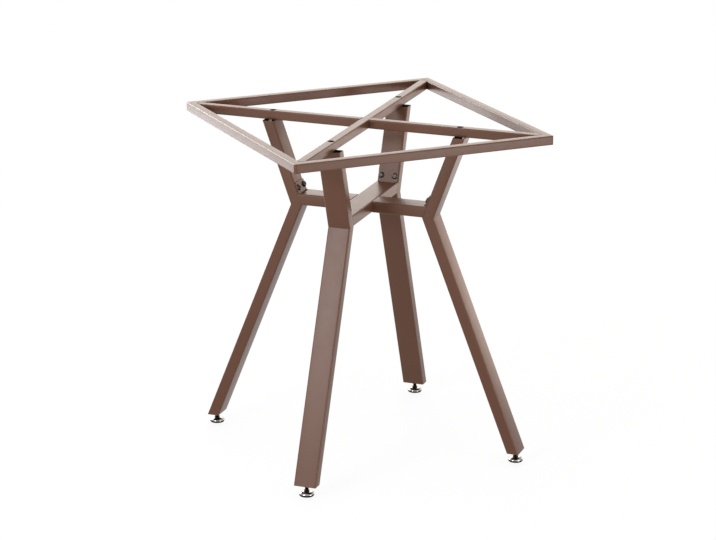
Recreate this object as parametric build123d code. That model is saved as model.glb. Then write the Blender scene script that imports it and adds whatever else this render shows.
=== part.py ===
from build123d import *
import math
import os

# A square steel table frame in millimetres: a flat top frame of thin square tube with two crossing
# diagonals, four legs that pinch in at a waist, a flat cross brace bolted to the legs at the waist,
# and four levelling feet. The origin is on the floor under the middle of the frame, Z points up and
# the rails run along X and Y, so each leg lies in an upright plane through a corner of the frame.

# Driving dimensions: the whole frame
frame_side = 600.0
overall_height = 743.0

# Driving dimensions: square tube of the rails and diagonals
square_tube_size = 20.0
square_tube_wall = 2.0
square_tube_radius = 2.5
frame_corner_radius = 4.0

# Driving dimensions: flat tube of the legs and the brace
flat_tube_width = 50.0
flat_tube_depth = 25.0
flat_tube_wall = 1.5
flat_tube_radius = 3.0

# Driving dimensions: the outer line of a leg, as distance from the middle and height
waist_reach = 165.5
waist_height = 540.0
leg_top_reach = 232.0
leg_end_reach = 369.0
leg_end_height = 23.0

# Driving dimensions: the plates inside the leg ends
top_plate_recess = 5.0
top_plate_thickness = 8.0
end_plate_thickness = 8.0

# Driving dimensions: the tabs that join the brace to the legs
tab_thickness = 2.5
tab_side_clearance = 0.5
tab_corner_radius = 3.0
tab_screw_rise = 12.5
tab_screw_spacing = 32.0
tab_screw_edge = 12.0
tab_passage_clearance = 0.2
tab_slot_width = 36.0
tab_slot_opening = 5.0
brace_cope_depth = 1.5

# Driving dimensions: screw thread and the fits around it
thread_diameter = 8.0
thread_clearance = 0.05
screw_hole_clearance = 0.5

# Driving dimensions: cap screw between a diagonal and a leg top
cap_head_diameter = 13.0
cap_head_height = 8.0
cap_socket_width = 6.0
cap_socket_depth = 4.0
cap_screw_length = 20.0
access_hole_clearance = 0.75

# Driving dimensions: button-head screw and rivet nut between a tab and a leg
button_head_diameter = 14.0
button_head_height = 4.4
button_head_rim = 0.6
button_flat_diameter = 6.6
button_head_crown = 0.8
button_socket_width = 5.0
button_socket_depth = 2.6
button_screw_length = 16.0
rivet_nut_diameter = 11.0
rivet_nut_length = 14.0
rivet_nut_lip = 0.8
rivet_nut_bulge = 1.0
rivet_nut_bulge_length = 3.0

# Driving dimensions: levelling foot
foot_diameter = 33.0
foot_rim_height = 1.4
foot_shell = 1.2
foot_dome_height = 5.6
foot_crown_diameter = 15.0
pad_diameter = 31.4
pad_rim_height = 2.5
stem_collar_diameter = 12.0
stem_collar_height = 3.0
stem_rivet_diameter = 12.0
stem_rivet_height = 2.0
stem_reach_in_leg = 11.0
stem_tip_chamfer = 1.0

# Smallest radius inside a drawn tube, for a wall thicker than the outside radius
least_inner_radius = 0.3

# Heights that follow from the driving dimensions
frame_underside = overall_height - square_tube_size
brace_top = waist_height + flat_tube_depth

# The four corners, with the direction of each one as an angle about Z
corner_angles = {
    "front_left": -135.0,
    "front_right": -45.0,
    "rear_right": 45.0,
    "rear_left": 135.0,
}
short_corners = ("front_right", "rear_left")


os.makedirs("parts", exist_ok=True)


def turned(solid, angle):
    """The solid turned about the frame's upright axis."""
    return Rot(0, 0, angle) * solid


def save(solid, node):
    """Write one node, or one group of like solids, under its name."""
    solid.label = node
    export_step(solid, f"parts/{node}.step")


def save_group(solids, node):
    """Write like solids as one node."""
    save(Compound(children=solids), node)


def tube_ring(width, depth, radius, wall):
    """Section of a drawn tube: a rounded rectangle less the same outline moved in by the wall."""
    inner_radius = max(radius - wall, least_inner_radius)
    outside = RectangleRounded(width, depth, radius)
    inside = RectangleRounded(width - 2 * wall, depth - 2 * wall, inner_radius)
    return outside - inside


def square_tube(plane, half_length):
    """Square tube that runs both ways from a plane across it."""
    ring = tube_ring(square_tube_size, square_tube_size, square_tube_radius, square_tube_wall)
    return extrude(plane * ring, amount=half_length, both=True)


def flat_tube(plane, half_length):
    """Flat tube that runs both ways from a plane across it, with its width along the plane's X."""
    ring = tube_ring(flat_tube_width, flat_tube_depth, flat_tube_radius, flat_tube_wall)
    return extrude(plane * ring, amount=half_length, both=True)


def flat_tube_core(plane, half_length):
    """The space inside the flat tube, which the plates in its ends fill."""
    inner_radius = max(flat_tube_radius - flat_tube_wall, least_inner_radius)
    inner_width = flat_tube_width - 2 * flat_tube_wall
    inner_depth = flat_tube_depth - 2 * flat_tube_wall
    space = RectangleRounded(inner_width, inner_depth, inner_radius)
    return extrude(plane * space, amount=half_length, both=True)


def cut_above(solid, plane):
    """The part of a solid on the side that the plane faces."""
    return split(solid, bisect_by=plane, keep=Keep.TOP)


def level_slab(low, high):
    """A wide level slab between two heights, for cutting plates to the slanted tube around them."""
    reach = 2 * frame_side
    return Pos(0, 0, (low + high) / 2) * Box(reach, reach, high - low)


def hex_prism(across_flats, height):
    """Six-sided prism that stands on the plane of its start."""
    return extrude(RegularPolygon(across_flats / math.sqrt(3), 6), amount=height)


# Where the leg lies in its own plane: X outwards from the middle, Z up

waist_point = Vector(waist_reach, 0, waist_height)
top_point = Vector(leg_top_reach, 0, frame_underside)
end_point = Vector(leg_end_reach, 0, leg_end_height)
upper_run = (top_point - waist_point).normalized()
lower_run = (end_point - waist_point).normalized()
across_leg = Vector(0, 1, 0)
upper_inward = upper_run.cross(across_leg)
lower_inward = across_leg.cross(lower_run)
upper_plane = Plane(
    waist_point + upper_inward * flat_tube_depth / 2, x_dir=across_leg, z_dir=upper_run
)
lower_plane = Plane(
    waist_point + lower_inward * flat_tube_depth / 2, x_dir=across_leg, z_dir=lower_run
)
waist_mitre = Plane(waist_point, x_dir=across_leg, z_dir=(upper_run - lower_run).normalized())
below_frame = Plane((0, 0, frame_underside), z_dir=(0, 0, -1))
above_leg_end = Plane((0, 0, leg_end_height), z_dir=(0, 0, 1))

# The middle of the slanted leg at a level, halfway between its outer and inner faces
upper_half_level = flat_tube_depth / upper_run.Z / 2
lower_half_level = flat_tube_depth / -lower_run.Z / 2
top_plate_high = frame_underside - top_plate_recess
top_plate_low = top_plate_high - top_plate_thickness
top_plate_middle = (top_plate_high + top_plate_low) / 2
upper_slope = upper_run.X / upper_run.Z
top_screw_reach = leg_top_reach - upper_half_level - (frame_underside - top_plate_middle) * upper_slope
foot_reach = leg_end_reach - lower_half_level

# The leg's inner face above the waist, which the brace tab lies on: local Y runs up the slope and
# local Z points to the middle of the frame
inner_waist_rise = flat_tube_depth * upper_inward.dot(waist_mitre.z_dir) / upper_run.dot(waist_mitre.z_dir)
inner_waist = waist_point + upper_inward * flat_tube_depth - upper_run * inner_waist_rise
inner_face = Plane(inner_waist, x_dir=(0, -1, 0), z_dir=upper_inward)


def up_slope(height):
    """Distance up the leg's inner face, from the waist, at which it reaches a height."""
    return (height - inner_waist.Z) / upper_run.Z


tab_low = up_slope(waist_height + flat_tube_wall)
tab_screw_up = up_slope(brace_top) + tab_screw_rise
tab_high = tab_screw_up + tab_screw_edge
tab_width = flat_tube_width - 2 * flat_tube_wall - 2 * tab_side_clearance
tab_screw_spots = [
    Pos(-tab_screw_spacing / 2, tab_screw_up),
    Pos(tab_screw_spacing / 2, tab_screw_up),
]

# Rails: square tube mitred at both ends, with the frame's upright corners ground round

rail_offset = (frame_side - square_tube_size) / 2
rail_level = overall_height - square_tube_size / 2
rail_plane = Plane((0, -rail_offset, rail_level), x_dir=(0, 1, 0), z_dir=(1, 0, 0))
ground_outline = RectangleRounded(frame_side, frame_side, frame_corner_radius)
ground_block = extrude(Pos(0, 0, frame_underside) * ground_outline, amount=square_tube_size)
front_rail = square_tube(rail_plane, frame_side)
front_rail = cut_above(front_rail, Plane((0, 0, 0), z_dir=(-1, -1, 0)))
front_rail = cut_above(front_rail, Plane((0, 0, 0), z_dir=(1, -1, 0)))
front_rail = front_rail & ground_block

rail_angles = {"rail_front": 0.0, "rail_right": 90.0, "rail_rear": 180.0, "rail_left": 270.0}
for node, angle in rail_angles.items():
    save(turned(front_rail, angle), node)

# Diagonals: square tube that runs into the inside corners of the rails, flush with their top. The
# top wall has an access hole over each leg, and the bottom wall a hole for the screw there

inner_side = frame_side - 2 * square_tube_size
inner_block = Pos(0, 0, rail_level) * Box(inner_side, inner_side, square_tube_size)
access_hole = Cylinder(cap_head_diameter / 2 + access_hole_clearance, square_tube_size)
screw_hole = Cylinder(thread_diameter / 2 + screw_hole_clearance, square_tube_size)
drill = Pos(0, 0, overall_height) * access_hole + Pos(0, 0, frame_underside) * screw_hole
diagonal_plane = Plane((0, 0, rail_level), x_dir=(0, 1, 0), z_dir=(1, 0, 0))
diagonal_tube = square_tube(diagonal_plane, frame_side)
drilled_tube = diagonal_tube - Pos(top_screw_reach, 0, 0) * drill - Pos(-top_screw_reach, 0, 0) * drill

long_angle = corner_angles["rear_right"]
save(turned(drilled_tube, long_angle) & inner_block, "diagonal_long")

beside_long = Plane((square_tube_size / 2, 0, 0), z_dir=(1, 0, 0))
half_tube = cut_above(drilled_tube, beside_long)
for corner in short_corners:
    save(turned(half_tube, corner_angles[corner]) & inner_block, f"diagonal_short_{corner}")

# Legs: two lengths of flat tube mitred at the waist, cut level under the frame and above the foot

leg_run = overall_height
upper_tube = cut_above(cut_above(flat_tube(upper_plane, leg_run), waist_mitre), below_frame)
lower_tube = cut_above(cut_above(flat_tube(lower_plane, leg_run), -waist_mitre), above_leg_end)

# Each upper leg has two countersunk holes in its inner wall for the rivet nuts of the brace
nut_radius = rivet_nut_diameter / 2 + thread_clearance
nut_hole = Cylinder(nut_radius, 2 * flat_tube_wall)
countersink = Pos(0, 0, -rivet_nut_lip / 2) * Cone(nut_radius, nut_radius + rivet_nut_lip, rivet_nut_lip)
nut_seat = nut_hole + countersink
for spot in tab_screw_spots:
    upper_tube = upper_tube - inner_face * spot * nut_seat

# Plates welded inside the leg ends, tapped for the top screw and for the foot
tapped_hole = Cylinder(thread_diameter / 2 + thread_clearance, overall_height)
top_plate = flat_tube_core(upper_plane, leg_run) & level_slab(top_plate_low, top_plate_high)
top_plate = top_plate - Pos(top_screw_reach, 0, top_plate_middle) * tapped_hole
end_plate_high = leg_end_height + end_plate_thickness
end_plate = flat_tube_core(lower_plane, leg_run) & level_slab(leg_end_height, end_plate_high)
end_plate = end_plate - Pos(foot_reach, 0, leg_end_height) * tapped_hole

for corner, angle in corner_angles.items():
    save(turned(upper_tube, angle), f"leg_upper_{corner}")
    save(turned(lower_tube, angle), f"leg_lower_{corner}")
    save(turned(top_plate, angle), f"leg_top_plate_{corner}")
    save(turned(end_plate, angle), f"leg_end_plate_{corner}")

# Brace: flat tube on its side in a level cross, with its underside at the waist. The ends are cut to
# the slope of the legs and coped a little way round their rounded edges. A notch in the top wall lets
# a tab stand up out of each end, and a narrower slot behind the tab leaves the end open for draining

brace_plane = Plane((0, 0, waist_height + flat_tube_depth / 2), x_dir=(0, 1, 0), z_dir=(1, 0, 0))
brace_reach = inner_face.offset(-brace_cope_depth)
leg_outline = RectangleRounded(flat_tube_width, flat_tube_depth, flat_tube_radius)
leg_block = extrude(upper_plane * leg_outline, amount=leg_run, both=True)
from_seat = (Align.CENTER, Align.CENTER, Align.MIN)
passage_width = tab_width + 2 * tab_passage_clearance
passage_length = brace_cope_depth + tab_thickness + tab_passage_clearance
slot_length = brace_cope_depth + tab_thickness + tab_slot_opening
tab_passage = Box(passage_width, flat_tube_depth, passage_length, align=from_seat)
drain_slot = Box(tab_slot_width, flat_tube_depth, slot_length, align=from_seat)
notch = brace_reach * Pos(0, up_slope(brace_top)) * (tab_passage + drain_slot)


def fit_to_leg(tube):
    """The tube with its outer end shaped for a leg and notched for a tab."""
    return cut_above(tube, brace_reach) - leg_block - notch


half_turn = 180.0
arm_one_end = fit_to_leg(flat_tube(brace_plane, frame_side))
long_arm = fit_to_leg(turned(arm_one_end, half_turn))
save(turned(long_arm, long_angle), "brace_long")

beside_long_arm = Plane((flat_tube_width / 2, 0, 0), z_dir=(1, 0, 0))
short_arm = cut_above(arm_one_end, beside_long_arm)
for corner in short_corners:
    save(turned(short_arm, corner_angles[corner]), f"brace_short_{corner}")

# Tabs: flat plates welded into the arm ends, each screwed to the inner face of a leg above the arm
tab_outline = RectangleRounded(tab_width, tab_high - tab_low, tab_corner_radius)
tab_outline = Pos(0, (tab_high + tab_low) / 2) * tab_outline
tab_holes = [spot * Circle(thread_diameter / 2 + screw_hole_clearance) for spot in tab_screw_spots]
brace_tab = extrude(inner_face * (tab_outline - tab_holes), amount=tab_thickness)
for corner, angle in corner_angles.items():
    save(turned(brace_tab, angle), f"brace_tab_{corner}")

# Cap screws: sunk in the diagonals, with their heads on the bottom wall and their ends in the top plates

cap_seat = frame_underside + square_tube_wall
cap_head = Pos(0, 0, cap_head_height / 2) * Cylinder(cap_head_diameter / 2, cap_head_height)
cap_socket = Pos(0, 0, cap_head_height - cap_socket_depth) * hex_prism(cap_socket_width, cap_socket_depth)
cap_shank = Pos(0, 0, -cap_screw_length / 2) * Cylinder(thread_diameter / 2, cap_screw_length)
cap_screw = Pos(top_screw_reach, 0, cap_seat) * (cap_head - cap_socket + cap_shank)
save_group([turned(cap_screw, angle) for angle in corner_angles.values()], "top_screws")

# Brace screws and rivet nuts: modelled upright at the origin, with the leg's face at zero

button_radius = button_head_diameter / 2
button_flat = button_flat_diameter / 2
button_half_drop = (button_head_height - button_head_rim) / 2
button_middle = (
    (button_radius + button_flat) / 2 + button_head_crown,
    button_head_rim + button_half_drop + button_head_crown,
)
button_outline = Polyline(
    (0, button_head_height), (0, 0), (button_radius, 0), (button_radius, button_head_rim)
)
button_crown = ThreePointArc(
    (button_radius, button_head_rim), button_middle, (button_flat, button_head_height)
)
button_top = Line((button_flat, button_head_height), (0, button_head_height))
button_face = make_face(Plane.XZ * (button_outline + button_crown + button_top))
button_head = revolve(button_face, axis=Axis.Z)
button_socket_floor = button_head_height - button_socket_depth
button_socket = Pos(0, 0, button_socket_floor) * hex_prism(button_socket_width, button_socket_depth)
button_shank = Pos(0, 0, -button_screw_length / 2) * Cylinder(thread_diameter / 2, button_screw_length)
button_screw = button_head - button_socket + button_shank
button_seat = Pos(0, 0, tab_thickness)

nut_bore = thread_diameter / 2 + thread_clearance
nut_body = rivet_nut_diameter / 2
bulge_end = flat_tube_wall + rivet_nut_bulge_length
nut_outline = Polyline(
    (nut_bore, 0),
    (nut_body + rivet_nut_lip, 0),
    (nut_body, -rivet_nut_lip),
    (nut_body, -flat_tube_wall),
    (nut_body + rivet_nut_bulge, -flat_tube_wall - rivet_nut_bulge),
    (nut_body + rivet_nut_bulge, -bulge_end),
    (nut_body, -bulge_end - rivet_nut_bulge),
    (nut_body, -rivet_nut_length),
    (nut_bore, -rivet_nut_length),
    close=True,
)
rivet_nut = revolve(make_face(Plane.XZ * nut_outline), axis=Axis.Z)

screw_set = {
    "brace_screws": button_seat * button_screw,
    "rivet_nuts": rivet_nut,
}
for node, solid in screw_set.items():
    copies = []
    for angle in corner_angles.values():
        for spot in tab_screw_spots:
            copies.append(turned(inner_face * spot * solid, angle))
    save_group(copies, node)

# Feet: a plated dome pressed over a dark pad, riveted to a threaded stem. Outlines are drawn as
# distance from the foot's axis and height above the floor, and turned about the axis

foot_radius = foot_diameter / 2
crown_radius = foot_crown_diameter / 2
dome_low = pad_rim_height + foot_rim_height
dome_high = dome_low + foot_dome_height
stem_radius = thread_diameter / 2


def turned_outline(points):
    """Solid of revolution about Z from straight-sided points."""
    return revolve(make_face(Plane.XZ * Polyline(*points, close=True)), axis=Axis.Z)


def dome(radius, crown, low, rim, high):
    """Solid dome: a flat base, an upright rim, a quarter of an ellipse and a flat crown."""
    base = Polyline((0, high), (0, low), (radius, low), (radius, rim))
    shoulder = EllipticalCenterArc(
        center=(crown, rim), x_radius=radius - crown, y_radius=high - rim, start_angle=0, arc_size=90
    )
    crown_line = Line((crown, high), (0, high))
    return revolve(make_face(Plane.XZ * (base + shoulder + crown_line)), axis=Axis.Z)


shell_outside = dome(foot_radius, crown_radius, pad_rim_height, dome_low, dome_high)
shell_inside = dome(
    foot_radius - foot_shell, crown_radius - foot_shell, pad_rim_height, dome_low, dome_high - foot_shell
)
shell_hole = Pos(0, 0, dome_high) * Cylinder(stem_radius, 2 * foot_dome_height)
foot_base = shell_outside - shell_inside - shell_hole

rivet_high = dome_high - foot_shell
rivet_low = rivet_high - stem_rivet_height
pad_core_radius = foot_radius - foot_shell
pad = turned_outline(
    [
        (0, 0),
        (pad_diameter / 2, 0),
        (pad_diameter / 2, pad_rim_height),
        (pad_core_radius, pad_rim_height),
        (pad_core_radius, dome_low),
        (stem_rivet_diameter / 2, rivet_low),
        (0, rivet_low),
    ]
)

stem_top = leg_end_height + stem_reach_in_leg
collar_top = dome_high + stem_collar_height
stem = turned_outline(
    [
        (0, rivet_low),
        (stem_rivet_diameter / 2, rivet_low),
        (stem_rivet_diameter / 2, rivet_high),
        (stem_radius, rivet_high),
        (stem_radius, dome_high),
        (stem_collar_diameter / 2, dome_high),
        (stem_collar_diameter / 2, collar_top),
        (stem_radius, collar_top),
        (stem_radius, stem_top - stem_tip_chamfer),
        (stem_radius - stem_tip_chamfer, stem_top),
        (0, stem_top),
    ]
)

foot_place = Pos(foot_reach, 0, 0)
for corner, angle in corner_angles.items():
    save(turned(foot_place * stem, angle), f"foot_stem_{corner}")
    save(turned(foot_place * foot_base, angle), f"foot_base_{corner}")
    save(turned(foot_place * pad, angle), f"foot_pad_{corner}")
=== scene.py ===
import math

import bmesh
import bpy
import numpy as np
from mathutils import Matrix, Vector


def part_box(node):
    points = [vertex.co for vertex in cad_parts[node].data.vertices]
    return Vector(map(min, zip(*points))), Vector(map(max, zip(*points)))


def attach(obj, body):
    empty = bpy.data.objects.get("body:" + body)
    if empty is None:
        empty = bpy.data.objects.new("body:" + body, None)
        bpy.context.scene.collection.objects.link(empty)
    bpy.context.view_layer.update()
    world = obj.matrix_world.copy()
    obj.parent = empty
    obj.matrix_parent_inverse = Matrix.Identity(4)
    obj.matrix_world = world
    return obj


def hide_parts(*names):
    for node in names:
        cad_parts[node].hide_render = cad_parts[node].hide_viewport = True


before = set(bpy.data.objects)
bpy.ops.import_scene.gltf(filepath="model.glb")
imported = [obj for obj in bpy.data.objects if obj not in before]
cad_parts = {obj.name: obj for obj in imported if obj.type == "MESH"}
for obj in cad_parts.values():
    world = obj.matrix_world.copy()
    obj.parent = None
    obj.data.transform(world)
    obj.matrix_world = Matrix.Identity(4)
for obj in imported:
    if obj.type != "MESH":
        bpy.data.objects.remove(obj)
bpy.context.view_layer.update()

# Rails of the top frame: four lengths of drawn square steel tube, mitred, welded and ground flush at
# the corners. After welding, all the steelwork is sprayed and baked with a satin brown powder coat, which
# doesn't reach the bores. The bores' bare steel is made darker than its scale, as painted shade inside
# the tubes.

rail_low, rail_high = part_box("rail_front")
frame_half = -rail_low.y
frame_top = rail_high.z
frame_underside = rail_low.z
square_size = frame_top - frame_underside
square_radius = 0.0025
square_wall = 0.002
ground_radius = 0.006
ground_length = 1.5 * ground_radius
ground_rings = 13
up = np.array([0.0, 0.0, 1.0])
sideways = np.array([0.0, 1.0, 0.0])


def powder_coat(name, brown, dark_brown, roughness_low, roughness_high):
    """Baked powder: a fine orange-peel skin in the bump, a broad faint drift between two browns, and a
    gloss that varies a little from place to place."""
    coat = bpy.data.materials.new(name)
    coat.use_nodes = True
    nodes = coat.node_tree.nodes
    links = coat.node_tree.links
    shader = nodes["Principled BSDF"]
    shader.inputs["Specular IOR Level"].default_value = 0.25
    place = nodes.new("ShaderNodeTexCoord")

    drift = nodes.new("ShaderNodeTexNoise")
    drift.inputs["Scale"].default_value = 9.0
    drift.inputs["Detail"].default_value = 3.0
    tint = nodes.new("ShaderNodeMix")
    tint.data_type = "RGBA"
    tint.inputs["A"].default_value = dark_brown
    tint.inputs["B"].default_value = brown
    links.new(place.outputs["Object"], drift.inputs["Vector"])
    links.new(drift.outputs["Fac"], tint.inputs["Factor"])
    links.new(tint.outputs["Result"], shader.inputs["Base Color"])

    gloss = nodes.new("ShaderNodeTexNoise")
    gloss.inputs["Scale"].default_value = 55.0
    gloss.inputs["Detail"].default_value = 2.0
    gloss_range = nodes.new("ShaderNodeMapRange")
    gloss_range.inputs["To Min"].default_value = roughness_low
    gloss_range.inputs["To Max"].default_value = roughness_high
    links.new(place.outputs["Object"], gloss.inputs["Vector"])
    links.new(gloss.outputs["Fac"], gloss_range.inputs["Value"])
    links.new(gloss_range.outputs["Result"], shader.inputs["Roughness"])

    peel = nodes.new("ShaderNodeTexNoise")
    peel.inputs["Scale"].default_value = 620.0
    peel.inputs["Detail"].default_value = 3.0
    peel.inputs["Roughness"].default_value = 0.55
    skin = nodes.new("ShaderNodeBump")
    skin.inputs["Strength"].default_value = 0.03
    skin.inputs["Distance"].default_value = 0.00012
    links.new(place.outputs["Object"], peel.inputs["Vector"])
    links.new(peel.outputs["Fac"], skin.inputs["Height"])
    links.new(skin.outputs["Normal"], shader.inputs["Normal"])
    return coat


def mill_scale_and_painted_shade(name, scale_and_shade_dark, scale_and_shade_pale):
    """Bare steel as it left the rolling mill: blotches between two tones of scale, rough all over.
    Both tones are made darker than scale, as painted shade in the hollows.
    """
    steel = bpy.data.materials.new(name)
    steel.use_nodes = True
    nodes = steel.node_tree.nodes
    links = steel.node_tree.links
    shader = nodes["Principled BSDF"]
    shader.inputs["Specular IOR Level"].default_value = 0.12
    place = nodes.new("ShaderNodeTexCoord")
    blotch = nodes.new("ShaderNodeTexNoise")
    blotch.inputs["Scale"].default_value = 160.0
    blotch.inputs["Detail"].default_value = 4.0
    tint = nodes.new("ShaderNodeMix")
    tint.data_type = "RGBA"
    tint.inputs["A"].default_value = scale_and_shade_dark
    tint.inputs["B"].default_value = scale_and_shade_pale
    gloss = nodes.new("ShaderNodeMapRange")
    gloss.inputs["To Min"].default_value = 0.55
    gloss.inputs["To Max"].default_value = 0.75
    links.new(place.outputs["Object"], blotch.inputs["Vector"])
    links.new(blotch.outputs["Fac"], tint.inputs["Factor"])
    links.new(blotch.outputs["Fac"], gloss.inputs["Value"])
    links.new(tint.outputs["Result"], shader.inputs["Base Color"])
    links.new(gloss.outputs["Result"], shader.inputs["Roughness"])
    return steel


def rounded_outline(width, depth, radius, steps=8):
    """Outline of a drawn tube: at each corner a quarter circle, its centre plus the radius times the
    cosine and sine of even angles, then the middle of the flat that follows."""
    angle = (np.linspace(0, 1, steps + 1)[None] + np.arange(4)[:, None]) * math.pi / 2
    centre_x = (width / 2 - radius) * np.array([1, -1, -1, 1])[:, None]
    centre_y = (depth / 2 - radius) * np.array([1, 1, -1, -1])[:, None]
    arcs = np.stack([centre_x + radius * np.cos(angle), centre_y + radius * np.sin(angle)], axis=-1)
    middles = (arcs[:, -1] + np.roll(arcs[:, 0], -1, axis=0)) / 2
    return np.concatenate([arcs, middles[:, None]], axis=1).reshape(-1, 2)


def along_path(outline, origin, across, upward, start, end, insets=(0.0,)):
    """A profile carried along a straight path: each outline point runs in the direction across x upward,
    from its own start distance to its own end distance, with rings a little in from both ends."""
    along = np.cross(across, upward)
    base = origin + outline[:, :1] * across + outline[:, 1:] * upward
    inset = np.asarray(insets)[:, None] * np.ones(len(outline))
    distance = np.concatenate([start + inset, end - inset[::-1]])
    return base + distance[..., None] * along


def grid_faces(rows, columns, close_rows):
    """Quads over a grid of points whose columns close on themselves, and whose rows may."""
    row = np.arange(rows if close_rows else rows - 1)[:, None]
    column = np.arange(columns)[None]
    next_row = (row + 1) % rows
    next_column = (column + 1) % columns
    corners = [row * columns + column, row * columns + next_column]
    corners += [next_row * columns + next_column, next_row * columns + column]
    return np.stack(corners, axis=-1).reshape(-1, 4)


def skinned(name, points, close_rows, crease=40.0):
    """Object over grids of points, rows by columns, one grid for each like copy. Points that meet, such as
    a pole, are merged, and edges sharper than the crease stay crisp."""
    grids = points.reshape(-1, *points.shape[-3:])
    count, rows, columns, _ = grids.shape
    faces = grid_faces(rows, columns, close_rows)
    faces = (faces[None] + (np.arange(count) * rows * columns)[:, None, None]).reshape(-1, 4)
    mesh = bpy.data.meshes.new(name)
    mesh.from_pydata(grids.reshape(-1, 3).tolist(), [], faces.tolist())
    shape = bmesh.new()
    shape.from_mesh(mesh)
    bmesh.ops.remove_doubles(shape, verts=shape.verts, dist=1e-7)
    shape.to_mesh(mesh)
    shape.free()
    mesh.shade_smooth()
    mesh.set_sharp_from_angle(angle=math.radians(crease))
    piece = bpy.data.objects.new(name, mesh)
    bpy.context.scene.collection.objects.link(piece)
    return piece


def tube_skin(name, outer, bore):
    """Closed skin of a tube: the outer rings from start to end, then the bore's rings from end to start.
    The bore's faces take the second finish."""
    piece = skinned(name, np.concatenate([outer, bore[::-1]]), close_rows=True)
    rows = len(outer) + len(bore)
    face_row = np.arange(rows * outer.shape[1]) // outer.shape[1]
    in_bore = (face_row >= len(outer)) & (face_row < rows - 1)
    piece.data.polygons.foreach_set("material_index", in_bore.astype(np.int32))
    return piece


def fit_piece(piece, finishes, node, body):
    """Give a piece its finishes, and let it stand for its solid on the body that carries it."""
    for finish in finishes:
        piece.data.materials.append(finish)
    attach(piece, body)
    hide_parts(node)


def turned(points, degrees):
    """Points turned about the upright axis of the frame."""
    cosine = math.cos(math.radians(degrees))
    sine = math.sin(math.radians(degrees))
    return points @ np.array([[cosine, sine, 0], [-sine, cosine, 0], [0, 0, 1]])


def ground_round(points):
    """Upright corners of the frame ground round: what lies outside the arc about a corner's centre is
    drawn straight back to it."""
    core = frame_half - ground_radius
    past = np.maximum(np.abs(points[..., :2]) - core, 0.0)
    far = np.linalg.norm(past, axis=-1)
    outside = (past > 0).all(axis=-1) & (far > ground_radius)
    shrink = np.where(outside, ground_radius / np.maximum(far, 1e-9), 1.0)[..., None]
    level = np.sign(points[..., :2]) * (np.minimum(np.abs(points[..., :2]), core) + past * shrink)
    return np.concatenate([level, points[..., 2:]], axis=-1)


coat = powder_coat(
    "satin_brown_powder_coat",
    brown=(0.120, 0.051, 0.029, 1),
    dark_brown=(0.106, 0.045, 0.025, 1),
    roughness_low=0.28,
    roughness_high=0.36,
)
# Bore steel: its own dark scale, made near black as painted shade inside the tubes and the holes.
bore_steel_and_shade = mill_scale_and_painted_shade(
    "bore_steel_and_painted_shade",
    scale_and_shade_dark=(0.012, 0.010, 0.009, 1),
    scale_and_shade_pale=(0.03, 0.026, 0.023, 1),
)
tube_finishes = (coat, bore_steel_and_shade)
square_outline = rounded_outline(square_size, square_size, square_radius)
bore_size = square_size - 2 * square_wall
square_bore = rounded_outline(bore_size, bore_size, square_radius - square_wall)
rail_offset = frame_half - square_size / 2
rail_level = frame_top - square_size / 2
rail_start = np.array([0.0, -rail_offset, rail_level])
corner_insets = np.linspace(0.0, ground_length, ground_rings)
rail_mitre = rail_offset - square_outline[:, 0]
bore_mitre = rail_offset - square_bore[:, 0]
rail_skin = along_path(square_outline, rail_start, sideways, up, -rail_mitre, rail_mitre, corner_insets)
rail_hollow = along_path(square_bore, rail_start, sideways, up, -bore_mitre, bore_mitre, corner_insets)
rail_skin = ground_round(rail_skin)
for quarter, node in enumerate(["rail_front", "rail_right", "rail_rear", "rail_left"]):
    turn = 90.0 * quarter
    rail = tube_skin(f"{node}_tube", turned(rail_skin, turn), turned(rail_hollow, turn))
    fit_piece(rail, tube_finishes, node, "frame")

# Diagonals: the same square tube laid corner to corner, one in full length and two half lengths butted
# and welded to its sides. A hole over each leg, drilled to bare steel, lets a key through to the screw in
# the leg's top. The hole's wall takes the near-black bore steel, which is partly painted shade.

access_radius = 0.00725
screw_hole_radius = 0.0045
cap_head_radius = 0.0065
top_screw_reach = (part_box("top_screws")[1].x - cap_head_radius) * math.sqrt(2)


def swept_round(radius, height, columns=48):
    """Surface of revolution about the upright axis: each row's radius, which may change with the angle,
    times the cosine and sine of even angles, at the row's height."""
    angle = np.arange(columns) / columns * 2 * math.pi
    spread = np.broadcast_to(np.asarray(radius, float).reshape(len(height), -1), (len(height), columns))
    level = np.broadcast_to(np.asarray(height, float)[:, None], spread.shape)
    return np.stack([spread * np.cos(angle), spread * np.sin(angle), level], axis=-1)


def pin_shape(radius, low, high):
    """Plain round pin, from its lower pole out to the radius, up, and in to its upper pole."""
    return swept_round([0.0, radius, radius, 0.0], [low, low, high, high])


def cut_out(piece, cutters, crease=40.0):
    """The piece less the closed shapes of the cutters, which are used up."""
    for cutter in cutters:
        cut = piece.modifiers.new("cut", "BOOLEAN")
        cut.operation = "DIFFERENCE"
        cut.solver = "EXACT"
        cut.object = cutter
    evaluated = piece.evaluated_get(bpy.context.evaluated_depsgraph_get())
    mesh = bpy.data.meshes.new_from_object(evaluated)
    piece.modifiers.clear()
    piece.data = mesh
    mesh.set_sharp_from_angle(angle=math.radians(crease))
    for cutter in cutters:
        bpy.data.objects.remove(cutter)


def steel_drill(name, points):
    """Cutter whose faces take the second finish of a tube, so that its hole has a wall of bare steel, made
    near black as painted shade.
    """
    drill = skinned(name, points, close_rows=False)
    drill.data.polygons.foreach_set("material_index", np.ones(len(drill.data.polygons), np.int32))
    for finish in tube_finishes:
        drill.data.materials.append(finish)
    return drill


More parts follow.
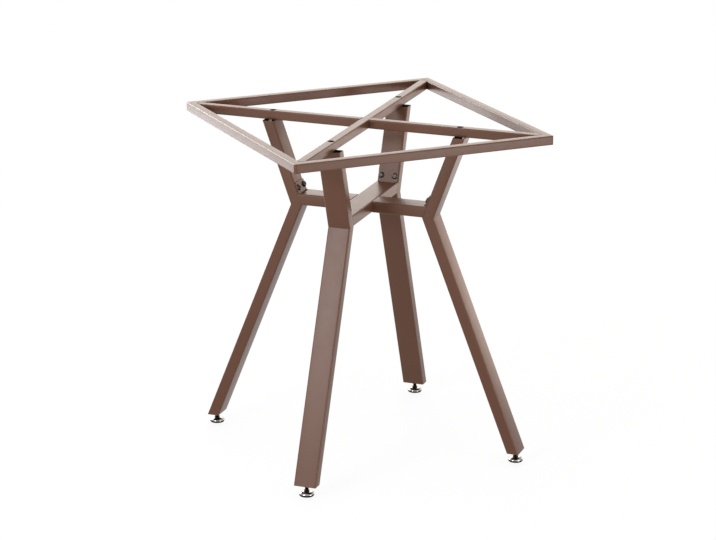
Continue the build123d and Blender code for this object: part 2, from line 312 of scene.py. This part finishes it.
diagonal_start = np.array([0.0, 0.0, rail_level])
inside_corner = (frame_half - square_size) * math.sqrt(2)
diagonal_end = inside_corner - np.abs(square_outline[:, 0])
diagonal_bore_end = inside_corner - np.abs(square_bore[:, 0])
butted = square_size / 2
diagonals = {
    "diagonal_long": (45.0, -diagonal_end, -diagonal_bore_end),
    "diagonal_short_front_right": (-45.0, butted, butted),
    "diagonal_short_rear_left": (135.0, butted, butted),
}
access_pin = pin_shape(access_radius, rail_level, frame_top + square_wall)
screw_pin = pin_shape(screw_hole_radius, frame_underside - square_wall, rail_level)
for node, (angle, start, bore_start) in diagonals.items():
    outer = along_path(square_outline, diagonal_start, sideways, up, start, diagonal_end)
    inner = along_path(square_bore, diagonal_start, sideways, up, bore_start, diagonal_bore_end)
    diagonal = tube_skin(f"{node}_tube", turned(outer, angle), turned(inner, angle))
    fit_piece(diagonal, tube_finishes, node, "frame")
    sides = (1, -1) if node == "diagonal_long" else (1,)
    drills = []
    for side in sides:
        for number, pin in enumerate([access_pin, screw_pin]):
            placed = turned(pin + [side * top_screw_reach, 0.0, 0.0], angle)
            drills.append(steel_drill(f"drill_{side}_{number}", placed))
    cut_out(diagonal, drills)

# Legs: flat rectangular steel tube in two lengths, mitred and welded at the waist, where the leg turns
# from leaning in to leaning out. The upper end is cut level under the diagonals, the lower above the foot,
# and the inner wall is drilled and countersunk for two rivet nuts.

flat_width = 0.050
flat_depth = 0.025
flat_wall = 0.0015
flat_radius = 0.003
waist_reach = 0.1655
leg_top_reach = 0.232
leg_end_reach = 0.369
tab_screw_rise = 0.0125
tab_screw_spacing = 0.032
nut_hole_radius = 0.00555
nut_lip = 0.0008
waist_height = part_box("brace_long")[0].z
leg_end_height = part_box("leg_end_plate_front_left")[0].z
corner_angles = {"front_left": -135.0, "front_right": -45.0, "rear_right": 45.0, "rear_left": 135.0}


def unit(vector):
    """The vector at length one."""
    return vector / np.linalg.norm(vector)


def reach_plane(outline, origin, across, upward, point, normal):
    """Distance along the path at which each outline point meets a plane: how far the plane's point lies
    from it along the normal, over how fast the path nears the plane."""
    base = origin + outline[:, :1] * across + outline[:, 1:] * upward
    return (point - base) @ normal / (np.cross(across, upward) @ normal)


waist_point = np.array([waist_reach, 0.0, waist_height])
top_point = np.array([leg_top_reach, 0.0, frame_underside])
end_point = np.array([leg_end_reach, 0.0, leg_end_height])
upper_run = unit(top_point - waist_point)
lower_run = unit(end_point - waist_point)
upper_inward = np.cross(upper_run, sideways)
lower_outward = np.cross(lower_run, sideways)
mitre_normal = unit(upper_run - lower_run)
flat_outline = rounded_outline(flat_width, flat_depth, flat_radius)
flat_bore = rounded_outline(flat_width - 2 * flat_wall, flat_depth - 2 * flat_wall, flat_radius - flat_wall)


def leg_tube(origin, upward, far_point):
    """Flat tube from the waist's mitre plane to a level cut, outside and inside."""
    skins = []
    for outline in (flat_outline, flat_bore):
        start = reach_plane(outline, origin, sideways, upward, waist_point, mitre_normal)
        end = reach_plane(outline, origin, sideways, upward, far_point, up)
        skins.append(along_path(outline, origin, sideways, upward, start, end))
    return skins


def up_slope(height):
    """Point on the middle of the leg's inner face at a height."""
    return inner_waist + upper_run * (height - inner_waist[2]) / upper_run[2]


waist_rise = flat_depth * (upper_inward @ mitre_normal) / (upper_run @ mitre_normal)
inner_waist = waist_point + upper_inward * flat_depth - upper_run * waist_rise
brace_top = waist_height + flat_depth
facing = -sideways
leg_axes = np.stack([facing, upper_run, upper_inward])
tab_screw_middle = up_slope(brace_top) + upper_run * tab_screw_rise
screw_spots = [tab_screw_middle + facing * side * tab_screw_spacing / 2 for side in (-1, 1)]
nut_seat = swept_round(
    [0.0, nut_hole_radius, nut_hole_radius, nut_hole_radius + 2 * nut_lip, 0.0],
    [-2 * flat_wall, -2 * flat_wall, -nut_lip, nut_lip, nut_lip],
)

upper_skin, upper_bore = leg_tube(waist_point + upper_inward * flat_depth / 2, upper_inward, top_point)
lower_skin, lower_bore = leg_tube(waist_point - lower_outward * flat_depth / 2, lower_outward, end_point)
for corner, angle in corner_angles.items():
    upper_leg = tube_skin(f"leg_upper_{corner}_tube", turned(upper_skin, angle), turned(upper_bore, angle))
    fit_piece(upper_leg, tube_finishes, f"leg_upper_{corner}", "frame")
    drills = []
    for number, spot in enumerate(screw_spots):
        placed = turned(spot + nut_seat @ leg_axes, angle)
        drills.append(skinned(f"nut_drill_{number}", placed, close_rows=False))
    cut_out(upper_leg, drills)
    lower_leg = tube_skin(f"leg_lower_{corner}_tube", turned(lower_skin, angle), turned(lower_bore, angle))
    fit_piece(lower_leg, tube_finishes, f"leg_lower_{corner}", "frame")

# Plates in the leg ends: flat steel slugs welded inside the tubes and tapped for the screw at the top
# and for the foot below. They are sprayed with the legs.

for corner in corner_angles:
    for plate in (f"leg_top_plate_{corner}", f"leg_end_plate_{corner}"):
        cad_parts[plate].material_slots[0].material = coat

# Brace: the same flat tube laid level in a cross at the waist, one arm in full length and two butted and
# welded to it. Each end is cut to the leg's slope, with an opening in its top wall behind a welded tab.

tab_thickness = 0.0025
tab_clearance = 0.0005
tab_width = flat_width - 2 * (flat_wall + tab_clearance)
tab_radius = 0.003
tab_screw_edge = 0.012
passage_clearance = 0.0002
slot_width = 0.036
slot_opening = 0.005
slot_radius = 0.0008
cope_depth = 0.0015
notch_start = -2 * cope_depth
brace_start = np.array([0.0, 0.0, waist_height + flat_depth / 2])


def capped(rings):
    """Rings closed at both ends by a pole in the middle of the first and the last."""
    first = np.broadcast_to(rings[:1].mean(axis=1, keepdims=True), rings[:1].shape)
    last = np.broadcast_to(rings[-1:].mean(axis=1, keepdims=True), rings[-1:].shape)
    return np.concatenate([first, rings, last])


def brace_end(outline):
    """Where each outline point of an arm meets the leg: on the slope of its inner face, and past that,
    near the sides, on the quarter round of the leg's edge, as far as the cope goes."""
    face = reach_plane(outline, brace_start, sideways, up, inner_waist, upper_inward)
    past_flat = np.clip(np.abs(outline[:, 0]) - (flat_width / 2 - flat_radius), 0.0, flat_radius)
    fall = flat_radius - np.sqrt(flat_radius**2 - past_flat**2)
    return face + np.minimum(fall, cope_depth) / upper_run[2]


def brace_notch(name, width, opening, angle):
    """Cutter through an arm's top wall beside the leg, from past the coped end to the far side of the
    opening."""
    outline = rounded_outline(width, flat_depth, slot_radius)
    rings = along_path(outline, up_slope(brace_top), facing, upper_run, notch_start, opening)
    return skinned(name, turned(capped(rings), angle), close_rows=False)


arms = {
    "brace_long": (45.0, (45.0, 225.0)),
    "brace_short_front_right": (-45.0, (-45.0,)),
    "brace_short_rear_left": (135.0, (135.0,)),
}
for node, (angle, ends) in arms.items():
    skins = []
    for outline in (flat_outline, flat_bore):
        far = brace_end(outline)
        near = -far if node == "brace_long" else flat_width / 2
        skins.append(along_path(outline, brace_start, sideways, up, near, far))
    arm = tube_skin(f"{node}_tube", turned(skins[0], angle), turned(skins[1], angle))
    fit_piece(arm, tube_finishes, node, "frame")
    notches = []
    for number, end in enumerate(ends):
        passage = tab_thickness + passage_clearance
        notches.append(brace_notch(f"passage_{number}", tab_width + 2 * passage_clearance, passage, end))
        notches.append(brace_notch(f"slot_{number}", slot_width, tab_thickness + slot_opening, end))
    cut_out(arm, notches)

# Tabs: flat steel plates with rounded corners, welded into the arm ends and standing up against the legs.
# Each has two holes for the screws that hold the brace.

tab_edge = 0.0003
tab_low = up_slope(waist_height + flat_wall)
tab_height = np.linalg.norm(tab_screw_middle - tab_low) + tab_screw_edge
tab_middle = tab_low + upper_run * tab_height / 2
tab_outline = rounded_outline(tab_width, tab_height, tab_radius)
tab_inset = rounded_outline(tab_width - 2 * tab_edge, tab_height - 2 * tab_edge, tab_radius - tab_edge)
tab_body = along_path(tab_outline, tab_middle, facing, upper_run, tab_edge, tab_thickness - tab_edge)
tab_faces = along_path(tab_inset, tab_middle, facing, upper_run, 0.0, tab_thickness)
tab_points = capped(np.concatenate([tab_faces[:1], tab_body, tab_faces[1:]]))
tab_drill = pin_shape(screw_hole_radius, -tab_thickness, 2 * tab_thickness)
for corner, angle in corner_angles.items():
    tab = skinned(f"brace_tab_{corner}_plate", turned(tab_points, angle), close_rows=False)
    fit_piece(tab, (coat,), f"brace_tab_{corner}", "frame")
    drills = []
    for number, spot in enumerate(screw_spots):
        placed = turned(spot + tab_drill @ leg_axes, angle)
        drills.append(skinned(f"tab_drill_{number}", placed, close_rows=False))
    cut_out(tab, drills)

# Brace screws: button-head machine screws with a hexagon socket, in blackened steel, through
# the tabs into rivet nuts in the legs. The rivet nuts are hidden behind the tabs.

button_radius = 0.007
button_height = 0.0044
button_rim = 0.0006
button_flat = 0.0033
button_socket = 0.005
button_socket_depth = 0.0026
screw_radius = 0.004
button_length = 0.016
edge_round = 0.00025
tip_chamfer = 0.0005
socket_flat = 0.55
crown_steps = 8


def plated_steel(name, colour, roughness_low, roughness_high, grain):
    """Plated steel: a fine mottle in the gloss, left by the grain of the steel under the plate."""
    plate = bpy.data.materials.new(name)
    plate.use_nodes = True
    nodes = plate.node_tree.nodes
    links = plate.node_tree.links
    shader = nodes["Principled BSDF"]
    shader.inputs["Base Color"].default_value = colour
    shader.inputs["Metallic"].default_value = 1.0
    place = nodes.new("ShaderNodeTexCoord")
    mottle = nodes.new("ShaderNodeTexNoise")
    mottle.inputs["Scale"].default_value = grain
    mottle.inputs["Detail"].default_value = 4.0
    gloss = nodes.new("ShaderNodeMapRange")
    gloss.inputs["To Min"].default_value = roughness_low
    gloss.inputs["To Max"].default_value = roughness_high
    links.new(place.outputs["Object"], mottle.inputs["Vector"])
    links.new(mottle.outputs["Fac"], gloss.inputs["Value"])
    links.new(gloss.outputs["Result"], shader.inputs["Roughness"])
    return plate


def hexagon(across_flats, columns):
    """Radius of a hexagon at even angles: half the width across its flats over the cosine of the angle
    from the nearest flat's middle."""
    angle = np.arange(columns) / columns * 2 * math.pi
    from_flat = (angle + math.pi / 6) % (math.pi / 3) - math.pi / 6
    return across_flats / 2 / np.cos(from_flat)


def socket_screw(outer_radius, outer_height, socket_width, socket_floor, length, columns=60):
    """Screw with a hexagon socket: a plain shank up to the seat, the head's outline, then the socket's
    hexagon down to its floor, in over a slight dish to the floor's flat, and on to a pole."""
    key = hexagon(socket_width, columns)
    round_rows = np.ones(columns)
    shank = [(0.0, -length), (screw_radius - tip_chamfer, -length)]
    shank += [(screw_radius, -length + tip_chamfer), (screw_radius, 0.0)]
    rows = [radius * round_rows for radius, _ in shank]
    heights = [height for _, height in shank]
    rows += [radius * round_rows for radius in outer_radius]
    heights += list(outer_height)
    mouth = outer_height[-1]
    dish = socket_floor - edge_round
    rows += [key + edge_round, key, key, key * socket_flat, key * 0.0]
    heights += [mouth, mouth - edge_round, socket_floor, dish, dish]
    return swept_round(np.stack(rows), heights, columns)


screw_plating = plated_steel("blackened_steel", (0.05, 0.046, 0.042, 1), 0.16, 0.3, 900.0)
crown_angle = np.linspace(0.0, 1.0, crown_steps + 1)[1:] * math.pi / 2
crown_radius = button_flat + (button_radius - button_flat) * np.cos(crown_angle)
crown_height = button_rim + (button_height - button_rim) * np.sin(crown_angle)
head_radius = np.concatenate([[button_radius - edge_round, button_radius, button_radius], crown_radius])
head_height = np.concatenate([[0.0, edge_round, button_rim], crown_height])
button_floor = button_height - button_socket_depth
button_screw = socket_screw(head_radius, head_height, button_socket, button_floor, button_length)
button_screw = button_screw + [0.0, 0.0, tab_thickness]
button_copies = []
for angle in corner_angles.values():
    button_copies += [turned(spot + button_screw @ leg_axes, angle) for spot in screw_spots]
brace_screws = skinned("brace_button_screws", np.stack(button_copies), close_rows=False)
fit_piece(brace_screws, (screw_plating,), "brace_screws", "frame")
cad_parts["rivet_nuts"].material_slots[0].material = screw_plating

# Top screws: socket cap screws sunk in the diagonals, under the access holes, which clamp the top frame
# to the plates in the leg tops. Their steel is left dull black from the oxide bath.

cap_height = 0.008
cap_socket = 0.006
cap_socket_depth = 0.004
cap_length = 0.020
cap_radius = [cap_head_radius - edge_round, cap_head_radius, cap_head_radius, cap_head_radius - edge_round]
cap_rows = [0.0, edge_round, cap_height - edge_round, cap_height]
cap_screw = socket_screw(cap_radius, cap_rows, cap_socket, cap_height - cap_socket_depth, cap_length)
cap_screw = cap_screw + [top_screw_reach, 0.0, frame_underside + square_wall]
cap_copies = np.stack([turned(cap_screw, angle) for angle in corner_angles.values()])
top_screws = skinned("top_cap_screws", cap_copies, close_rows=False)
cap_oxide = plated_steel("black_oxide_steel", (0.03, 0.028, 0.027, 1), 0.4, 0.55, 900.0)
fit_piece(top_screws, (cap_oxide,), "top_screws", "frame")

# Foot bases: domes pressed from sheet steel and plated with bright nickel; a band round the rim takes
# the black stem finish as a painted dark reflection. Each dome is riveted to the stem of its foot, and each
# foot has a body of its own, because it screws in and out.

base_low, base_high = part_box("foot_base_front_left")
dome_low = base_low.z
dome_high = base_high.z
foot_radius = (base_high.x - base_low.x) / 2
foot_reach = -(base_low.x + base_high.x) / 2 * math.sqrt(2)
foot_place = np.array([foot_reach, 0.0, 0.0])
foot_shell = 0.0012
foot_rim = 0.0014
foot_crown = 0.0075
dome_edge = dome_low + foot_rim
dome_steps = 14
base_columns = 72
painted_reflection_rows = 4


def dome_side(crown, edge_radius, top):
    """Side of a dome, a quarter of an ellipse from its edge to its crown: the radius goes in with the cosine
    of even angles, and the height goes up with their sine."""
    angle = np.linspace(0.0, 1.0, dome_steps + 1) * math.pi / 2
    radius = crown + (edge_radius - crown) * np.cos(angle)
    height = dome_edge + (top - dome_edge) * np.sin(angle)
    return radius, height


def four_feet(kind, form, points, close_rows, finishes):
    """One piece for each foot: the points at the foot's reach, turned to each corner, on that foot's body."""
    pieces = []
    for corner, angle in corner_angles.items():
        placed = turned(points + foot_place, angle)
        piece = skinned(f"foot_{kind}_{corner}_{form}", placed, close_rows)
        fit_piece(piece, finishes, f"foot_{kind}_{corner}", f"foot_{corner}")
        pieces.append(piece)
    return pieces


bright_nickel = plated_steel("bright_nickel_plate", (0.36, 0.35, 0.335, 1), 0.06, 0.16, 500.0)
# Black zinc on the stems; on the dome rims the same black is a painted dark reflection.
black_zinc_and_rim_reflection = plated_steel("blackened_zinc_and_rim_reflection", (0.016, 0.015, 0.014, 1), 0.28, 0.42, 1200.0)
inside_top = dome_high - foot_shell
outside_radius, outside_height = dome_side(foot_crown, foot_radius, dome_high)
inside_radius, inside_height = dome_side(foot_crown - foot_shell, foot_radius - foot_shell, inside_top)
base_radius = np.concatenate(
    [
        [foot_radius - foot_shell, foot_radius - edge_round, foot_radius],
        outside_radius,
        [screw_radius, screw_radius],
        inside_radius[::-1],
    ]
)
base_height = np.concatenate(
    [
        [dome_low, dome_low, dome_low + edge_round],
        outside_height,
        [dome_high, inside_top],
        inside_height[::-1],
    ]
)
base_points = swept_round(base_radius, base_height, base_columns)
# The rows round the rim take the black finish: a painted dark reflection.
painted_reflection_faces = np.arange(len(base_height) * base_columns) // base_columns < painted_reflection_rows
for base in four_feet("base", "dome", base_points, True, (bright_nickel, black_zinc_and_rim_reflection)):
    base.data.polygons.foreach_set("material_index", painted_reflection_faces.astype(np.int32))

# Foot stems: turned steel in black zinc, with a rivet head spread inside the dome, a collar on top of it and
# a thread above. The stem screws into the plate in the leg's end, so that the foot suits an uneven floor.

stem_low, stem_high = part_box("foot_stem_front_left")
stem_top = stem_high.z
collar_radius = (stem_high.x - stem_low.x) / 2
collar_height = 0.003
rivet_height = 0.002
thread_pitch = 0.00125
thread_depth = 0.00077
thread_steps = 10
thread_flat = 0.15
stem_chamfer = 0.001
stem_columns = 48

rivet_high = inside_top
rivet_low = rivet_high - rivet_height
collar_top = dome_high + collar_height
plain_radius = [0.0, collar_radius, collar_radius, screw_radius, screw_radius]
plain_radius += [collar_radius - edge_round, collar_radius, collar_radius, collar_radius - edge_round]
plain_height = [rivet_low, rivet_low, rivet_high, rivet_high, dome_high]
plain_height += [dome_high, dome_high + edge_round, collar_top - edge_round, collar_top]

# The thread is a wave of the height less a turn's share of the angle, flattened at its crest and its root,
# that grows out of the collar over the first turn.
thread_top = stem_top - stem_chamfer
thread_rows = int((thread_top - collar_top) / thread_pitch * thread_steps)
thread_height = np.linspace(collar_top, thread_top, thread_rows)
turn_share = np.arange(stem_columns) / stem_columns
phase = (thread_height[:, None] / thread_pitch - turn_share[None]) % 1.0
wave = np.abs(2.0 * phase - 1.0)
flank = np.clip(wave * (1.0 + 2.0 * thread_flat) - thread_flat, 0.0, 1.0)
fade = np.clip((thread_height - collar_top) / thread_pitch, 0.0, 1.0)[:, None]
root_radius = screw_radius - thread_depth
thread_radius = root_radius + thread_depth * flank * fade
tip_radius = [root_radius, root_radius - stem_chamfer, 0.0]
tip_height = [thread_top, stem_top, stem_top]
stem_radius = np.concatenate(
    [
        np.array(plain_radius)[:, None] * np.ones(stem_columns),
        thread_radius,
        np.array(tip_radius)[:, None] * np.ones(stem_columns),
    ]
)
stem_height = np.concatenate([plain_height, thread_height, tip_height])
stem_points = swept_round(stem_radius, stem_height, stem_columns)
four_feet("stem", "thread", stem_points, False, (black_zinc_and_rim_reflection,))

# Foot pads: discs moulded in black plastic and pressed into the domes from below, up to the rivet head. They
# stand on the floor and keep the steel off it.

pad_low, pad_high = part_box("foot_pad_front_left")
pad_radius = (pad_high.x - pad_low.x) / 2
pad_core = foot_radius - foot_shell
pad_round = 2 * edge_round


def moulded_plastic(name, colour):
    """Black moulded plastic: a fine matt grain in the bump and in the gloss."""
    plastic = bpy.data.materials.new(name)
    plastic.use_nodes = True
    nodes = plastic.node_tree.nodes
    links = plastic.node_tree.links
    shader = nodes["Principled BSDF"]
    shader.inputs["Base Color"].default_value = colour
    shader.inputs["Specular IOR Level"].default_value = 0.25
    place = nodes.new("ShaderNodeTexCoord")
    grain = nodes.new("ShaderNodeTexNoise")
    grain.inputs["Scale"].default_value = 1400.0
    skin = nodes.new("ShaderNodeBump")
    skin.inputs["Strength"].default_value = 0.3
    skin.inputs["Distance"].default_value = 0.0001
    gloss = nodes.new("ShaderNodeMapRange")
    gloss.inputs["To Min"].default_value = 0.45
    gloss.inputs["To Max"].default_value = 0.65
    links.new(place.outputs["Object"], grain.inputs["Vector"])
    links.new(grain.outputs["Fac"], skin.inputs["Height"])
    links.new(grain.outputs["Fac"], gloss.inputs["Value"])
    links.new(gloss.outputs["Result"], shader.inputs["Roughness"])
    links.new(skin.outputs["Normal"], shader.inputs["Normal"])
    return plastic


pad_plastic = moulded_plastic("black_foot_plastic", (0.012, 0.012, 0.012, 1))
pad_points = swept_round(
    [0.0, pad_radius - pad_round, pad_radius, pad_radius, pad_core, pad_core, collar_radius, 0.0],
    [0.0, 0.0, pad_round, dome_low, dome_low, dome_edge, rivet_low, rivet_low],
    base_columns,
)
four_feet("pad", "disc", pad_points, False, (pad_plastic,))

# Studio: a white surround, soft boxes round the frame, strips that show in the gloss alone, and a pale floor
# with a faint shadow. The floor lies just below the reach of the feet when they are screwed right out.

foot_travel = 0.006
floor_gap = 0.0002
floor_drop = foot_travel + floor_gap
floor_half = 2.2
floor_white = 0.9
surround_light = 0.8


def seen_rays(tree):
    """One for the rays that show a surface, straight to the camera, in a gloss or through glass, and
    nought for the rays that only light it."""
    rays = tree.nodes.new("ShaderNodeLightPath")
    seen = rays.outputs["Is Camera Ray"]
    for kind in ("Is Glossy Ray", "Is Transmission Ray"):
        either = tree.nodes.new("ShaderNodeMath")
        either.operation = "MAXIMUM"
        tree.links.new(seen, either.inputs[0])
        tree.links.new(rays.outputs[kind], either.inputs[1])
        seen = either.outputs["Value"]
    return seen


def pale_floor(name):
    """Floor that is mostly plain white where it is seen, grey to the light that it throws back, and clear
    from beneath."""
    floor_paint = bpy.data.materials.new(name)
    floor_paint.use_nodes = True
    nodes = floor_paint.node_tree.nodes
    links = floor_paint.node_tree.links
    shader = nodes["Principled BSDF"]
    shader.inputs["Roughness"].default_value = 0.9
    seen = seen_rays(floor_paint.node_tree)
    pale = nodes.new("ShaderNodeMapRange")
    pale.inputs["To Min"].default_value = 0.5
    pale.inputs["To Max"].default_value = 0.9
    links.new(seen, pale.inputs["Value"])
    links.new(pale.outputs["Result"], shader.inputs["Base Color"])
    white = nodes.new("ShaderNodeEmission")
    share = nodes.new("ShaderNodeMath")
    share.operation = "MULTIPLY"
    share.inputs[1].default_value = floor_white
    mixed = nodes.new("ShaderNodeMixShader")
    links.new(seen, share.inputs[0])
    links.new(share.outputs["Value"], mixed.inputs["Fac"])
    links.new(shader.outputs["BSDF"], mixed.inputs[1])
    links.new(white.outputs["Emission"], mixed.inputs[2])
    sides = nodes.new("ShaderNodeNewGeometry")
    clear = nodes.new("ShaderNodeBsdfTransparent")
    one_sided = nodes.new("ShaderNodeMixShader")
    links.new(sides.outputs["Backfacing"], one_sided.inputs["Fac"])
    links.new(mixed.outputs["Shader"], one_sided.inputs[1])
    links.new(clear.outputs["BSDF"], one_sided.inputs[2])
    links.new(one_sided.outputs["Shader"], nodes["Material Output"].inputs["Surface"])
    return floor_paint


floor_mesh = bpy.data.meshes.new("studio_floor")
floor_corners = floor_half * np.array([[-1, -1, 0], [1, -1, 0], [1, 1, 0], [-1, 1, 0]])
floor_corners = floor_corners - floor_drop * up
floor_mesh.from_pydata(floor_corners.tolist(), [], [[0, 1, 2, 3]])
floor = bpy.data.objects.new("studio_floor", floor_mesh)
bpy.context.scene.collection.objects.link(floor)
floor_mesh.materials.append(pale_floor("studio_floor_paint"))

surround = bpy.data.worlds.new("white_surround")
surround.use_nodes = True
bpy.context.scene.world = surround
sky = surround.node_tree.nodes["Background"]
sky.inputs["Color"].default_value = (1, 1, 1, 1)
sky_strength = surround.node_tree.nodes.new("ShaderNodeMapRange")
sky_strength.inputs["To Min"].default_value = surround_light
sky_strength.inputs["To Max"].default_value = 1.0
surround.node_tree.links.new(seen_rays(surround.node_tree), sky_strength.inputs["Value"])
surround.node_tree.links.new(sky_strength.outputs["Result"], sky.inputs["Strength"])

frame_middle = np.array([0.0, 0.0, 0.5])


def soft_lamp(name, place, width, height, watts, colour=(1.0, 1.0, 1.0), gloss_only=False):
    """Rectangular soft box at a place, turned to face the middle of the frame. A lamp for the gloss alone
    draws bright lines along rounded edges, and adds nothing to the plain light on a surface."""
    lamp_data = bpy.data.lights.new(name, "AREA")
    lamp_data.shape = "RECTANGLE"
    lamp_data.size = width
    lamp_data.size_y = height
    lamp_data.energy = watts
    lamp_data.color = colour
    lamp = bpy.data.objects.new(name, lamp_data)
    bpy.context.scene.collection.objects.link(lamp)
    back = unit(np.array(place) - frame_middle)
    side = unit(np.cross(up, back))
    rise = np.cross(back, side)
    turn = Matrix(np.column_stack([side, rise, back]).tolist()).to_4x4()
    lamp.matrix_world = Matrix.Translation(place) @ turn
    lamp.visible_diffuse = not gloss_only


soft_lamp("low_rear_strip", (-0.44, 1.65, 0.3), 1.5, 0.5, 10.8, gloss_only=True)
soft_lamp("high_rear_strip", (-0.45, 2.26, 1.85), 1.0, 0.6, 27.0, gloss_only=True)
soft_lamp("left_rear_strip", (-1.1, 2.1, 1.2), 1.5, 1.0, 44.0, gloss_only=True)
soft_lamp("right_rear_soft_box", (1.2, 2.6, 1.6), 2.2, 2.2, 28.0, colour=(1.0, 0.9, 0.8))
soft_lamp("left_front_soft_box", (-2.1, -1.0, 1.35), 0.8, 0.8, 25.0)
soft_lamp("right_front_soft_box", (1.2, -2.3, 0.5), 0.9, 0.9, 14.0)
soft_lamp("right_soft_box", (2.3, 0.8, 0.5), 0.9, 0.9, 5.4, colour=(1.0, 0.74, 0.6))
soft_lamp("low_right_strip", (1.3, 0.5, 0.15), 0.6, 0.4, 0.8, colour=(1.0, 0.85, 0.72), gloss_only=True)
soft_lamp("low_front_strip", (0.6, -1.35, 0.2), 1.2, 0.5, 4.5, gloss_only=True)
soft_lamp("low_left_strip", (-1.6, -0.75, 0.25), 0.8, 0.4, 2.0, gloss_only=True)

# Camera: at the photograph's viewing angle, with a long lens. Its place and its turn bring the corners, the
# waists and the feet of the frame to where the photograph shows them.

image_width = 716
focal_pixels = 2755.0
sensor_width = 36.0
view_azimuth = math.radians(-25.124)
view_elevation = math.radians(16.971)
view_roll = math.radians(0.357)
view_distance = 6.0592
view_target = np.array([-0.01628, 0.0, 0.4016])

view_level = math.cos(view_elevation)
view_back = np.array(
    [math.sin(view_azimuth) * view_level, -math.cos(view_azimuth) * view_level, math.sin(view_elevation)]
)
view_right = np.array([math.cos(view_azimuth), math.sin(view_azimuth), 0.0])
view_up = np.cross(view_back, view_right)
rolled_right = view_right * math.cos(view_roll) + view_up * math.sin(view_roll)
rolled_up = view_up * math.cos(view_roll) - view_right * math.sin(view_roll)
camera_data = bpy.data.cameras.new("camera")
camera_data.sensor_fit = "HORIZONTAL"
camera_data.sensor_width = sensor_width
camera_data.lens = focal_pixels / image_width * sensor_width
camera = bpy.data.objects.new("camera", camera_data)
bpy.context.scene.collection.objects.link(camera)
camera_turn = Matrix(np.column_stack([rolled_right, rolled_up, view_back]).tolist()).to_4x4()
camera.matrix_world = Matrix.Translation(view_target + view_back * view_distance) @ camera_turn
bpy.context.scene.camera = camera
bpy.context.scene.view_settings.view_transform = "Standard"
